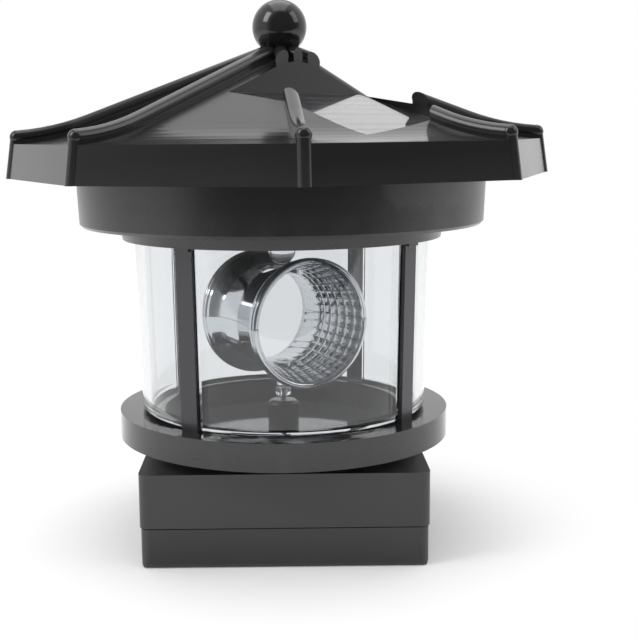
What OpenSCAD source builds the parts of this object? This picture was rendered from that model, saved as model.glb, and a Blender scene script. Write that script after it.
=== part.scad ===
// Solar beacon head for a garden lighthouse: a square plug-on base, a clear lantern with a turning
// reflector, and an eight-sided roof with a sunken solar panel. Front is -Y, up is +Z, sizes in mm.
// Bearings are measured from the front and grow toward the viewer's right.

/* [Base box] */
// Width of the square base box
box_w = 47.8; // [47:0.2:50]
// Height of the box from the ground to its flat top
box_h = 16; // [15.6:0.2:19]
// Height of the line between the cover and the upper shell
parting_z = 6.9; // [6.5:0.1:7.4]
// Rounding of the upright edges of the box
box_edge_r = 1.5; // [0.8:0.1:2.4]
// Rounding of the bottom edge of the box
foot_edge_r = 1; // [0.4:0.1:1.2]
// Step by which the cover stands back from the shell on each side
cover_step = 0.18; // [0.1:0.02:0.3]
// Thickness of the moulded plastic
wall = 1.5; // [1.3:0.1:1.7]

/* [Lantern floor] */
// Height of the neck between box and flange
neck_h = 1.77; // [1.4:0.05:3]
// Outer radius of the neck
neck_r = 22.4; // [22.2:0.1:23.2]
// Radius of the flange under the lantern
flange_r = 29.3; // [28.6:0.1:32]
// Height of the flange
flange_h = 4.7; // [4.4:0.1:6]
// Radius of the well inside the lantern
well_r = 21.4; // [21:0.1:21.8]
// Depth of the well below the flange's top
well_depth = 3.97; // [3.5:0.05:4]
// Radius of the bearing boss on the floor
bush_r = 2.75; // [2.2:0.05:3.4]
// Height of the bearing boss above the floor
bush_h = 4.7; // [4:0.1:4.9]

/* [Lantern] */
// Height of the opening between flange and ceiling
lantern_h = 30.33; // [28:0.1:34]
// Outer radius of the clear cylinder at its foot
glass_low_r = 25.3; // [24.9:0.1:26]
// Outer radius of the clear cylinder at the ceiling
glass_top_r = 25.9; // [25.5:0.1:26.2]
// Thickness of the clear cylinder
glass_t = 1.6; // [1.4:0.1:1.8]
// Rounding of the clear cylinder's lower outer edge
glass_edge_r = 1.2; // [0.6:0.1:1.3]
// Width of a post
post_w = 3.4; // [2.8:0.1:3.8]
// How far a post stands out of the clear cylinder
post_proud = 0.6; // [0.5:0.05:0.8]
// Depth of the groove that a post lies in
groove_depth = 0.95; // [0.9:0.05:1]
// Bearing of the first post
post_bearing = -36.65; // [-45:0.05:-30]

/* [Reflector] */
// Height of the reflector's centre above the flange's top
reflector_rise = 15.75; // [15:0.05:16]
// Outer radius of the reflector's two rims
rim_r = 11.4; // [10:0.1:11.6]
// Half the length of the reflector
reflector_half = 10.2; // [8.6:0.1:10.4]
// Inner radius of the reflector's throat
throat_r = 8.3; // [7.4:0.1:8.5]
// Thickness of the reflector's shell
reflector_t = 0.7; // [0.6:0.05:0.9]
// Bearing of the reflector's front mouth as it stands
mouth_bearing = 30; // [0:0.5:90]
// Radius of the turning shaft
shaft_r = 0.55; // [0.5:0.05:0.6]

/* [Gears] */
// Tooth size, the pitch diameter over the teeth
tooth_module = 0.4; // [0.38:0.01:0.41]
// Teeth of each small gear
small_teeth = 10; // [10:1:11]
// Teeth of each large gear
large_teeth = 36; // [34:1:36]
// Play between meshing teeth
backlash = 0.08; // [0.06:0.01:0.1]
// Thickness of one gear layer
gear_t = 1.5; // [1.3:0.1:1.5]
// Free height between layers
layer_gap = 0.3; // [0.25:0.05:0.35]

/* [Head] */
// Radius of the lip ring at its top
lip_top_r = 28.4; // [28:0.1:30]
// Radius of the lip ring at its underside
lip_low_r = 28; // [27.8:0.1:29.6]
// Height of the lip ring
lip_h = 2.35; // [2.2:0.05:3]
// Radius of the drum at its top
drum_top_r = 35.65; // [34:0.1:37]
// Radius of the drum at its foot
drum_low_r = 35.3; // [33.6:0.1:36.6]
// Height of the drum
drum_h = 8.25; // [8:0.1:10]

/* [Roof] */
// Radius to the roof's corners at the bottom of the fascia
eave_low_r = 47.5; // [47.1:0.1:49]
// Radius to the roof's corners at the top of the fascia
eave_top_r = 46.6; // [46.3:0.1:46.9]
// Height of the fascia
fascia_h = 5.94; // [5.4:0.1:7]
// Bearing of the roof's first corner
roof_bearing = 3.95; // [0:0.05:22]
// Fall of a roof face along its middle line, per mm
roof_fall_share = 0.4005; // [0.38:0.005:0.42]
// Distance from the middle at which a face begins to flare
flare_start = 31; // [30:0.2:32]
// Radius of the flare
flare_r = 39.2; // [37:0.2:42]
// Thickness of the roof's plastic
roof_t = 1.6; // [1.4:0.1:1.8]
// Radius of a hip rib's rounded back
rib_r = 1.2; // [1:0.05:1.3]
// Height of a rib above the hip
rib_h = 2.2; // [2:0.1:2.4]
// Radius of the ball on the roof
ball_r = 4.7; // [4.2:0.1:5.4]

/* [Solar panel] */
// Distance from the middle to the pocket's back wall
pocket_near = 4.2; // [4.2:0.1:5]
// Distance from the middle to the pocket's open end
pocket_far = 32; // [31.6:0.1:32.4]
// Width of the pocket
pocket_w = 34.8; // [33:0.2:35]
// Fall of the panel, per mm
panel_fall_share = 0.28; // [0.26:0.01:0.3]
// Gap between the panel and the pocket's walls
panel_gap = 0.45; // [0.3:0.05:0.6]
// Thickness of the panel's backing board
board_t = 1; // [0.8:0.1:1.2]
// Thickness of the clear cast face
resin_t = 0.7; // [0.6:0.1:0.9]

/* [Hidden] */
$fn = 48;
overrun = 1;
fit_gap = 0.1;
run_gap = 0.07;
right = 90;
half_turn = 180;
full_turn = 360;
half_share = 0.5;
corner_turn = 45;
face_turn = 22.5;
quarter_step = 90;
seam = 0.02;
floor_low = box_h + neck_h;
deck_z = floor_low + flange_h;
well_z = deck_z - well_depth;
ceiling_z = deck_z + lantern_h;
drum_z = ceiling_z + lip_h;
eave_z = drum_z + drum_h;
fascia_z = eave_z + fascia_h;
barrel_z = deck_z + reflector_rise;
box_half = box_w / 2;
cover_w = box_w - 2 * cover_step;
inside_half = box_half - wall;
shell_ceiling_z = box_h - wall;
// floor plate and neck bore
plate_r = 18.9;
ledge = 1;
bore_r = plate_r - ledge;
plate_low_z = well_z - wall;
neck_inner_r = plate_r + fit_gap;
// gear train heights, from the floor plate down
layer_a_z = plate_low_z - layer_gap - gear_t;
layer_b_z = layer_a_z - layer_gap - gear_t;
layer_c_z = layer_b_z - layer_gap - gear_t;
carrier_t = 1.2;
carrier_top = layer_c_z - layer_gap;
carrier_z = carrier_top - carrier_t;
pin_r = 0.5;
hub_r = 1.1;
pitch_share = 0.5;
gear_distance = tooth_module * (small_teeth + large_teeth) * pitch_share;
shift_share = 0.42;
addendum_share = 0.9;
dedendum_share = 1.2;
pressure = 20;
second_turn = 60;
first_turn = -20;
motor_turn = -100;
second_at = gear_distance * [cos(second_turn), sin(second_turn)];
first_at = second_at + gear_distance * [cos(first_turn), sin(first_turn)];
motor_at = first_at + gear_distance * [cos(motor_turn), sin(motor_turn)];
motor_r = 6.8;
motor_h = 7.4;
// roof heights; peak is where the faces' middle lines would meet
eave_top_d = eave_top_r * cos(face_turn);
eave_low_d = eave_low_r * cos(face_turn);
fall_angle = atan(roof_fall_share);
flare_drop = roof_fall_share * flare_start;
flare_x = flare_start + flare_r * sin(fall_angle);
eave_sag = flare_r * cos(fall_angle) - sqrt(flare_r * flare_r - (flare_x - eave_top_d) * (flare_x - eave_top_d));
peak_z = fascia_z + flare_drop - eave_sag;
flare_top_z = peak_z - flare_drop;
flare_z = flare_top_z + flare_r * cos(fall_angle);
// ribs along the corner lines
hip_share = roof_fall_share * cos(face_turn);
hip_angle = atan(hip_share);
rib_start = flare_start / cos(face_turn);
rib_peak = peak_z + rib_h;
rib_turn_r = 43;
rib_inset_share = 0.8;
rib_end = eave_top_r - rib_r * rib_inset_share;
rib_turn_x = rib_start + rib_turn_r * sin(hip_angle);
rib_turn_z = rib_peak - hip_share * rib_start + rib_turn_r * cos(hip_angle);
rib_sweep = hip_angle - asin((rib_turn_x - rib_end) / rib_turn_r);
rib_end_z = rib_turn_z - sqrt(rib_turn_r * rib_turn_r - (rib_turn_x - rib_end) * (rib_turn_x - rib_end));
rib_web = rib_r * 2 - 0.2;
ball_rise = 4.3;
ball_z = peak_z + ball_rise;
// solar panel
panel_bearing = roof_bearing + corner_turn;
panel_tilt = atan(panel_fall_share);
panel_sink = 6.9;
panel_top_z = peak_z - panel_sink;
panel_t = board_t + resin_t;
panel_len = (pocket_far - pocket_near - 2 * panel_gap) / cos(panel_tilt);
panel_w = pocket_w - 2 * panel_gap;
panel_drop = panel_t / cos(panel_tilt);
pocket_floor_t = 1.4;
cell_t = 0.25;
cell_count = 8;
cell_gap = 0.4;
// screws
screw_r = 0.75;
screw_head_r = 1.5;
screw_head_h = 1.1;
screw_len = 5;
boss_r = 2.1;
boss_inset = 4.9;
boss_at = box_half - boss_inset;
screw_gap = 0.15;
neck_screw_r = 20.6;
neck_screw_turn = -25;
eave_inner_d = min(eave_top_r, eave_low_r) * cos(face_turn) - roof_t;
roof_screw_inset = 1.95;
roof_screw_r = eave_inner_d - roof_screw_inset;
// leads
lead_r = 0.35;
lead_side = 0.55;
lead_hole_r = 0.5;
post_lead_r = glass_low_r - groove_depth + 0.6;
post_lead_top_r = glass_top_r - groove_depth + 0.6;
// base inside
battery_r = 5.05;
battery_len = 30;
battery_edge_gap = 0.95;
battery_y = box_half - wall - battery_edge_gap - battery_r;
battery_floor_gap = 0.3;
battery_z = wall + battery_floor_gap + battery_r;
ctrl_x = -9;
ctrl_y = -5.5;
ctrl_w = 22;
ctrl_d = 19;
ctrl_z = 5.6;
pcb_t = 1;
switch_x = -11;
switch_y = -8;
knob_x = 2.4;
knob_y = 1.8;
knob_throw = 2;
head_pcb_rise = 3;
head_pcb_z = drum_z + head_pcb_rise;
head_pcb_r = 10;
led_r = 2.5;
led_hang = 5;
led_low_z = ceiling_z - led_hang;

// Turns a piece drawn outward along +X to a bearing
module bearing(a) {
    rotate([0, 0, a - right]) children();
}

module ring_of(count, start, reach) {
    for (i = [0:count - 1])
        bearing(start + i * full_turn / count) translate([reach, 0, 0]) children();
}

// Upright piece drawn from its outline in reach and height
module upright(width) {
    rotate([right, 0, 0]) linear_extrude(height = width, center = true) children();
}

module rounded_square(w, d, r) {
    square([w, d - 2 * r], center = true);
    square([w - 2 * r, d], center = true);
    for (x = [-1, 1], y = [-1, 1])
        translate([x * (w / 2 - r), y * (d / 2 - r)]) circle(r = r);
}

// Outline of a box side with its two lower corners rounded
module footed_side(w, h, r) {
    translate([-w / 2, r]) square([w, h - r]);
    translate([r - w / 2, 0]) square([w - 2 * r, h]);
    for (x = [-1, 1])
        translate([x * (w / 2 - r), r]) circle(r = r);
}

module lead(route, r = lead_r) {
    joint_share = 1.03;
    for (i = [0:len(route) - 2]) {
        d = route[i + 1] - route[i];
        n = norm(d);
        translate(route[i]) rotate([0, acos(d[2] / n), atan2(d[1], d[0])]) cylinder(r = r, h = n);
    }
    for (i = [1:1:len(route) - 2])
        translate(route[i]) sphere(r = r * joint_share);
}

module screw(length, r = screw_r) {
    drive_r = 0.7;
    drive_depth = 0.5;
    translate([0, 0, -seam]) cylinder(r = r, h = length + seam);
    difference() {
        translate([0, 0, -screw_head_h]) cylinder(r = screw_head_r, h = screw_head_h);
        translate([0, 0, -screw_head_h - overrun])
            cylinder(r = drive_r, h = drive_depth + overrun, $fn = 6);
    }
}

// Upward screw, head below
module screw_hole(length) {
    translate([0, 0, -overrun]) cylinder(r = screw_r + screw_gap, h = length + overrun);
}

function at_bearing(a, reach, side, z) =
    [reach * sin(a) + side * cos(a), -reach * cos(a) + side * sin(a), z];

// Base box
module base_shell() {
    color([0.05, 0.05, 0.05]) difference() {
        union() {
            difference() {
                translate([0, 0, parting_z]) linear_extrude(height = box_h - parting_z)
                    rounded_square(box_w, box_w, box_edge_r);
                translate([0, 0, parting_z - overrun])
                    linear_extrude(height = shell_ceiling_z - parting_z + overrun)
                        rounded_square(2 * inside_half, 2 * inside_half, box_edge_r);
            }
            for (x = [-1, 1], y = [-1, 1])
                translate([x * boss_at, y * boss_at, parting_z + fit_gap])
                    cylinder(r = boss_r, h = shell_ceiling_z - parting_z);
        }
        translate([0, 0, shell_ceiling_z - overrun]) cylinder(r = bore_r, h = wall + 2 * overrun);
        for (x = [-1, 1], y = [-1, 1])
            translate([x * boss_at, y * boss_at, parting_z - overrun])
                cylinder(r = screw_r + screw_gap, h = screw_len + overrun);
        ring_of(4, neck_screw_turn, neck_screw_r)
            translate([0, 0, shell_ceiling_z]) screw_hole(wall + overrun);
        post_lead_bores();
    }
}

parting_slit = 0.2;
module base_cover() {
    cover_h = parting_z - parting_slit;
    recess_depth = 1.2;
    color([0.05, 0.05, 0.05]) difference() {
        union() {
            difference() {
                intersection() {
                    linear_extrude(height = cover_h) rounded_square(cover_w, cover_w, box_edge_r);
                    upright(box_w + overrun) footed_side(cover_w, cover_h, foot_edge_r);
                    rotate([0, 0, right]) upright(box_w + overrun) footed_side(cover_w, cover_h, foot_edge_r);
                }
                translate([0, 0, wall]) linear_extrude(height = parting_z)
                    rounded_square(2 * inside_half, 2 * inside_half, box_edge_r);
            }
            for (x = [-1, 1], y = [-1, 1])
                translate([x * boss_at, y * boss_at, wall - seam])
                    cylinder(r = boss_r, h = parting_z - wall);
            for (x = [-1, 1], y = [-1, 1])
                translate([ctrl_x + x * ctrl_post_x, ctrl_y + y * ctrl_post_y, wall - seam])
                    cylinder(r = ctrl_post_r, h = ctrl_z - wall + seam);
            for (x = [-1, 1])
                translate([x * saddle_x, battery_y, saddle_h / 2 + wall - seam])
                    cube([saddle_t, 2 * battery_r, saddle_h], center = true);
        }
        for (x = [-1, 1], y = [-1, 1])
            translate([x * boss_at, y * boss_at, 0]) {
                translate([0, 0, -overrun]) cylinder(r = screw_r + screw_gap, h = parting_z + 2 * overrun);
                translate([0, 0, -overrun])
                    cylinder(r = screw_head_r + screw_gap, h = screw_sink + overrun);
            }
        translate([-battery_len / 2, battery_y, battery_z]) rotate([0, right, 0])
            cylinder(r = battery_r + fit_gap, h = battery_len);
        translate([switch_x, switch_y, 0]) {
            cube([knob_x + knob_throw + knob_clear, knob_y + knob_clear, 2 * wall + overrun], center = true);
            translate([0, 0, -overrun]) linear_extrude(height = recess_depth + overrun - knob_clear)
                rounded_square(recess_w, recess_d, recess_r);
        }
    }
}
ctrl_post_x = 9;
ctrl_post_y = 7.6;
ctrl_post_r = 1.2;
saddle_x = 9;
saddle_t = 1.6;
saddle_h = 3;
screw_sink = 1.9;
knob_clear = 0.5;
recess_w = 9;
recess_d = 5;
recess_r = 1.2;

// Route of the two leads from the head to the base
bend_z = deck_z - 0.9;
bore_foot_r = neck_r - 2.5;
function post_lead_route(side) = [
    at_bearing(post_bearing - right, post_lead_top_r, side, drum_z + 1.2),
    at_bearing(post_bearing - right, post_lead_r, side, bend_z),
    at_bearing(post_bearing - right, post_lead_r - (bend_z - box_h), side, box_h),
    at_bearing(post_bearing - right, post_lead_r - (bend_z - box_h), side, box_h - 3),
    at_bearing(post_bearing - right, post_lead_r - (bend_z - box_h), side, box_h - 3) + [1.5, -7.5, -4],
    at_bearing(post_bearing - right, post_lead_r - (bend_z - box_h), side, ctrl_z + pcb_t + lead_r) + [2, -10.6, 0]
];
module post_lead_bores() {
    for (s = [-1, 1])
        lead([for (i = [0:3]) post_lead_route(s * lead_side)[i]], lead_hole_r);
}
module post_leads() {
    color([0.6, 0.1, 0.1]) for (s = [-1, 1]) lead(post_lead_route(s * lead_side));
}

module cover_screws() {
    color([0.7, 0.7, 0.72]) for (x = [-1, 1], y = [-1, 1])
        translate([x * boss_at, y * boss_at, screw_sink]) screw(parting_z + screw_len - screw_sink - overrun);
}

// Flange, floor plate and bearing
module flange_housing() {
    color([0.05, 0.05, 0.05]) difference() {
        union() {
            translate([0, 0, floor_low]) cylinder(r = flange_r, h = flange_h);
            translate([0, 0, box_h]) cylinder(r = neck_r, h = neck_h + seam);
        }
        translate([0, 0, well_z]) cylinder(r = well_r, h = flange_h);
        translate([0, 0, plate_low_z]) cylinder(r = neck_inner_r, h = flange_h);
        translate([0, 0, box_h - overrun]) cylinder(r = bore_r, h = flange_h);
        ring_of(4, neck_screw_turn, neck_screw_r)
            translate([0, 0, box_h - overrun]) cylinder(r = screw_r + screw_gap, h = neck_bite + overrun);
        post_lead_bores();
    }
}
neck_bite = 2.1;

module floor_plate() {
    color([0.08, 0.08, 0.08]) difference() {
        union() {
            translate([0, 0, plate_low_z]) cylinder(r = plate_r, h = wall);
            for (p = post_spots)
                translate([p[0], p[1], carrier_top]) cylinder(r = stand_r, h = plate_low_z - carrier_top + seam);
        }
        translate([0, 0, plate_low_z - overrun]) cylinder(r = bush_stem_r + run_gap, h = wall + 2 * overrun);
        for (p = post_spots)
            translate([p[0], p[1], carrier_top - overrun]) cylinder(r = screw_r + screw_gap, h = carrier_bite + overrun);
    }
}
post_spots = [[-7, -7.2], [-6.6, 7.6], [8, -13.4]];
stand_r = 1.7;
carrier_bite = 4.2;
bush_stem_r = 1.7;

module shaft_bush() {
    crown = 0.8;
    color([0.06, 0.06, 0.06]) difference() {
        union() {
            translate([0, 0, well_z]) cylinder(r = bush_r, h = bush_h - crown);
            translate([0, 0, well_z]) cylinder(r = bush_r - crown, h = bush_h);
            translate([0, 0, well_z + bush_h - crown]) rotate_extrude()
                translate([bush_r - crown, 0]) circle(r = crown - seam);
            translate([0, 0, plate_low_z]) cylinder(r = bush_stem_r, h = wall + seam);
        }
        translate([0, 0, plate_low_z - overrun]) cylinder(r = shaft_r + run_gap, h = wall + bush_h + 2 * overrun);
    }
}

// Involute gears
function inv(a) = tan(a) * half_turn / PI - a;
function base_radius(teeth) = teeth * tooth_module * half_share * cos(pressure);
function tip_radius(teeth, shift) = tooth_module * (teeth * half_share + addendum_share + shift);
function root_radius(teeth, shift) = tooth_module * (teeth * half_share - dedendum_share + shift);
function half_tooth(teeth, shift) =
    right / teeth + (2 * shift * tan(pressure) / teeth - backlash * half_share / (tooth_module * teeth)) * half_turn / PI;
function flank_angle(teeth, shift, r) =
    half_tooth(teeth, shift) + inv(pressure) - inv(acos(min(1, base_radius(teeth) / r)));
function flank_radii(teeth, shift) =
    let (low = max(base_radius(teeth), root_radius(teeth, shift)), high = tip_radius(teeth, shift), steps = 4)
    [for (i = [0:steps]) low + (high - low) * i / steps];
function tooth_outline(teeth, shift) = [
    for (k = [0:teeth - 1])
    let (mid = k * full_turn / teeth, radii = flank_radii(teeth, shift), n = len(radii))
    for (j = [0:2 * n + 1])
    let (
        left_side = j <= n,
        i = left_side ? j - 1 : 2 * n - j,
        r = i < 0 ? root_radius(teeth, shift) : radii[i],
        off = flank_angle(teeth, shift, max(r, radii[0]))
    )
    r * [cos(mid + (left_side ? -off : off)), sin(mid + (left_side ? -off : off))]
];
module gear(teeth, shift, height, turned) {
    rotate([0, 0, turned]) linear_extrude(height = height) polygon(tooth_outline(teeth, shift));
}
// Turn that brings a gear into mesh with one whose tooth stands at start
function meshed(start, heading, teeth, mate) =
    heading + half_turn + half_turn / mate - (start - heading) * teeth / mate;
output_phase = 0;
second_phase = meshed(output_phase, second_turn, large_teeth, small_teeth);
first_phase = meshed(second_phase, first_turn, large_teeth, small_teeth);
motor_phase = meshed(first_phase, motor_turn, large_teeth, small_teeth);

module output_gear() {
    color([0.9, 0.9, 0.86]) difference() {
        translate([0, 0, layer_a_z]) gear(large_teeth, -shift_share, gear_t, output_phase);
        translate([0, 0, layer_a_z - overrun]) cylinder(r = shaft_r, h = gear_t + 2 * overrun);
    }
}
module compound_gear(at, wheel_z, phase, top_z) {
    translate([at[0], at[1], 0]) difference() {
        union() {
            translate([0, 0, wheel_z]) gear(large_teeth, -shift_share, gear_t, phase);
            translate([0, 0, wheel_z + gear_t - seam])
                gear(small_teeth, shift_share, gear_t + layer_gap + seam, phase);
            translate([0, 0, carrier_top + fit_gap]) cylinder(r = hub_r, h = wheel_z - carrier_top);
            translate([0, 0, wheel_z]) cylinder(r = hub_r, h = top_z - wheel_z);
        }
        translate([0, 0, carrier_z]) cylinder(r = pin_r + run_gap, h = deck_z);
    }
}
module second_gear() {
    color([0.9, 0.9, 0.86]) compound_gear(second_at, layer_b_z, second_phase, plate_low_z - fit_gap);
}
module first_gear() {
    color([0.9, 0.9, 0.86]) compound_gear(first_at, layer_c_z, first_phase, plate_low_z - fit_gap);
}
module motor_pinion() {
    color([0.75, 0.65, 0.3]) translate([motor_at[0], motor_at[1], 0]) {
        translate([0, 0, layer_c_z]) gear(small_teeth, shift_share, gear_t, motor_phase);
        translate([0, 0, carrier_z - motor_shaft_dip]) cylinder(r = pin_r, h = layer_c_z - carrier_z + motor_shaft_dip + seam);
    }
}
motor_shaft_dip = 2;

module gear_pins() {
    color([0.7, 0.7, 0.72]) for (p = [second_at, first_at])
        translate([p[0], p[1], carrier_z + pin_foot]) cylinder(r = pin_r, h = plate_low_z - carrier_z - pin_foot - fit_gap);
}
pin_foot = 0.2;

module gear_plate() {
    plate_x = 28.8;
    plate_y = 26.2;
    mid_x = 5.6;
    mid_y = -2.6;
    color([0.85, 0.85, 0.82]) difference() {
        translate([mid_x, mid_y, carrier_z]) linear_extrude(height = carrier_t) rounded_square(plate_x, plate_y, box_edge_r);
        translate([0, 0, carrier_z + pin_foot]) cylinder(r = shaft_r + run_gap, h = carrier_t);
        for (p = [second_at, first_at])
            translate([p[0], p[1], carrier_z + pin_foot]) cylinder(r = pin_r, h = carrier_t);
        translate([motor_at[0], motor_at[1], carrier_z - overrun]) cylinder(r = motor_nose_r + fit_gap, h = carrier_t + 2 * overrun);
        for (p = post_spots)
            translate([p[0], p[1], carrier_z]) screw_hole(carrier_t + overrun);
    }
}
motor_nose_r = 1.8;

module motor_can() {
    nose_h = 0.8;
    color([0.72, 0.72, 0.74]) translate([motor_at[0], motor_at[1], 0]) difference() {
        union() {
            translate([0, 0, carrier_z - motor_h]) cylinder(r = motor_r, h = motor_h);
            translate([0, 0, carrier_z - seam]) cylinder(r = motor_nose_r, h = nose_h);
        }
        translate([0, 0, carrier_z - motor_shaft_dip - fit_gap]) cylinder(r = pin_r + run_gap, h = motor_h);
    }
}

// Identical small screws: the gear plate and the head board
module small_screws() {
    color([0.7, 0.7, 0.72]) {
        for (p = post_spots)
            translate([p[0], p[1], carrier_z]) screw(small_screw_len);
        ring_of(2, 0, head_boss_at) translate([0, 0, head_pcb_z + pcb_t]) mirror([0, 0, 1]) screw(small_screw_len - overrun);
    }
}
small_screw_len = 4;
head_boss_at = 7.4;

module neck_screws() {
    color([0.7, 0.7, 0.72]) ring_of(4, neck_screw_turn, neck_screw_r)
        translate([0, 0, shell_ceiling_z]) screw(wall + neck_bite - fit_gap);
}
module roof_screws() {
    color([0.7, 0.7, 0.72]) ring_of(4, roof_bearing + face_turn, roof_screw_r)
        translate([0, 0, brim_z]) screw(brim_t + roof_bite);
}

// Rotor
module output_shaft() {
    color([0.8, 0.8, 0.82]) translate([0, 0, carrier_z + pin_foot + seam])
        cylinder(r = shaft_r, h = knob_top_z - carrier_z - pin_foot - 2 * seam);
}
knob_low_z = well_z + bush_h + 0.8;
knob_top_z = knob_low_z + 1.3;
knob_r = 1.4;

function flare_in(s) = throat_r + mouth_gain * pow(s, flare_power);
mouth_gain = 2.05;
flare_power = 1.45;
throat_front = -1.2;
throat_rear = -5.8;
barrel_steps = 10;
lip_t = 1.1;
module barrel_outline(grow) {
    front = reflector_half;
    polygon(concat(
        [for (i = [0:barrel_steps]) let (s = i / barrel_steps)
            [flare_in(s) + grow, throat_front + (front - throat_front) * s]],
        [[0, front], [0, -front]],
        [for (i = [0:barrel_steps]) let (s = 1 - i / barrel_steps)
            [flare_in(s) + grow, throat_rear - (front + throat_rear) * s]]
    ));
}
module reflector() {
    strut_top_r = 3;
    lamp_hole_r = 3.8;
    color([0.85, 0.87, 0.9]) difference() {
        union() {
            translate([0, 0, barrel_z]) bearing(mouth_bearing) rotate([0, right, 0]) {
                rotate_extrude() barrel_outline(reflector_t);
                for (z = [-reflector_half, reflector_half - lip_t])
                    translate([0, 0, z]) cylinder(r = rim_r, h = lip_t);
            }
            translate([0, 0, knob_top_z]) cylinder(r1 = knob_r - reflector_t, r2 = strut_top_r, h = barrel_z - throat_r - knob_top_z);
            translate([0, 0, knob_low_z]) cylinder(r = knob_r, h = knob_top_z - knob_low_z + seam);
        }
        translate([0, 0, barrel_z]) bearing(mouth_bearing) rotate([0, right, 0]) {
            rotate_extrude() barrel_outline(0);
            for (s = [-1, 1])
                translate([0, 0, s * reflector_half - overrun]) cylinder(r = throat_r + mouth_gain - seam, h = 2 * overrun);
        }
        translate([0, 0, barrel_z]) cylinder(r = lamp_hole_r, h = rim_r + overrun);
        translate([0, 0, knob_low_z - overrun]) cylinder(r = shaft_r, h = knob_top_z - knob_low_z + overrun);
    }
}

// Lantern
function glass_r(z) = glass_low_r + (glass_top_r - glass_low_r) * (z - deck_z) / lantern_h;
glass_bite = 1;
glass_high_z = ceiling_z + glass_bite;
module clear_cylinder() {
    arc_steps = 8;
    top_r = glass_r(glass_high_z);
    color([0.8, 0.85, 0.9, 0.3]) difference() {
        rotate_extrude() polygon(concat(
            [[glass_low_r - glass_t, deck_z]],
            [for (i = [0:arc_steps]) let (a = right * i / arc_steps)
                [glass_low_r - glass_edge_r + glass_edge_r * sin(a), deck_z + glass_edge_r - glass_edge_r * cos(a)]],
            [[top_r, glass_high_z], [top_r - glass_t, glass_high_z]]
        ));
        ring_of(4, post_bearing, 0) upright(post_w + groove_play) polygon([
            [glass_r(deck_z - overrun) - groove_depth, deck_z - overrun],
            [glass_r(glass_high_z + overrun) - groove_depth, glass_high_z + overrun],
            [flange_r, glass_high_z + overrun],
            [flange_r, deck_z - overrun]
        ]);
    }
}
groove_play = 0.3;

module post(k) {
    high = glass_high_z - fit_gap;
    color([0.05, 0.05, 0.05]) bearing(post_bearing + k * quarter_step) upright(post_w) polygon([
        [glass_r(deck_z) - groove_depth + seat_gap, deck_z],
        [glass_r(high) - groove_depth + seat_gap, high],
        [glass_r(high) + post_proud, high],
        [glass_r(deck_z) + post_proud, deck_z]
    ]);
}
seat_gap = 0.05;
module post_front_left() {
    post(0);
}
module post_front_right() {
    post(1);
}
module post_rear_right() {
    post(2);
}
module post_rear_left() {
    channel_w = 2 * (lead_side + lead_hole_r);
    difference() {
        post(3);
        color([0.05, 0.05, 0.05]) bearing(post_bearing + 3 * quarter_step) upright(channel_w) polygon([
            [glass_r(deck_z) - 2 * groove_depth, deck_z - overrun],
            [glass_r(glass_high_z) - 2 * groove_depth, glass_high_z + overrun],
            [post_lead_top_r + lead_hole_r, glass_high_z + overrun],
            [post_lead_r + lead_hole_r, deck_z - overrun]
        ]);
    }
}

module lantern_ring() {
    tab_w = 2.9;
    tab_drop = 0.6;
    tab_t = 0.35;
    groove_low_r = glass_r(ceiling_z) - glass_t - fit_gap;
    groove_high_r = glass_r(glass_high_z) + fit_gap;
    socket_r = groove_high_r + post_proud + seat_gap;
    color([0.05, 0.05, 0.05]) difference() {
        union() {
            translate([0, 0, ceiling_z]) cylinder(r1 = lip_low_r, r2 = lip_top_r, h = lip_h);
            ring_of(4, post_bearing, socket_r + tab_t / 2)
                translate([0, 0, ceiling_z - (tab_drop - seam) / 2]) cube([tab_t, tab_w, tab_drop + seam], center = true);
            ring_of(2, 0, head_boss_at) translate([0, 0, drum_z - seam]) cylinder(r = head_boss_r, h = head_pcb_z - drum_z + seam);
        }
        difference() {
            translate([0, 0, ceiling_z - overrun]) cylinder(r = groove_high_r, h = glass_bite + overrun + fit_gap);
            translate([0, 0, ceiling_z - 2 * overrun]) cylinder(r = groove_low_r, h = glass_bite + 4 * overrun);
        }
        ring_of(4, post_bearing, socket_r - groove_depth)
            translate([0, 0, ceiling_z]) cube([2 * groove_depth, post_w + groove_play, 2 * (glass_bite + fit_gap)], center = true);
        translate([0, 0, ceiling_z - overrun]) cylinder(r = led_r + fit_gap, h = lip_h + 2 * overrun);
        ring_of(2, 0, head_boss_at) translate([0, 0, head_pcb_z - small_screw_len])
            cylinder(r = screw_r + screw_gap, h = small_screw_len + overrun);
        bearing(post_bearing - right) translate([post_lead_top_r, 0, ceiling_z])
            cube([2 * lead_hole_r, 2 * (lead_side + lead_hole_r), 2 * (lip_h + overrun)], center = true);
    }
}
head_boss_r = 1.7;

// Head drum with the eight-sided brim that closes the roof from below
brim_rise = 1.15;
brim_z = eave_z + brim_rise;
brim_t = wall;
drum_open_r = 27.2;
roof_bite = 2.1;
module collar_drum() {
    bevel = 0.5;
    brim_r = (eave_inner_d - screw_gap) / cos(face_turn);
    color([0.05, 0.05, 0.05]) difference() {
        union() {
            translate([0, 0, drum_z + bevel]) cylinder(r1 = drum_low_r, r2 = drum_top_r, h = drum_h - bevel + seam);
            translate([0, 0, drum_z]) cylinder(r1 = drum_low_r - bevel, r2 = drum_low_r, h = bevel + seam);
            translate([0, 0, eave_z]) cylinder(r = drum_top_r, h = brim_z - eave_z + seam);
            translate([0, 0, brim_z]) rotate([0, 0, roof_bearing]) cylinder(r = brim_r, h = brim_t, $fn = 8);
        }
        translate([0, 0, drum_z + wall]) cylinder(r = drum_low_r - wall, h = drum_h + brim_t + overrun);
        translate([0, 0, drum_z - overrun]) cylinder(r = drum_open_r, h = wall + 2 * overrun);
        ring_of(4, roof_bearing + face_turn, roof_screw_r) translate([0, 0, brim_z]) screw_hole(brim_t + overrun);
    }
}

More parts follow.
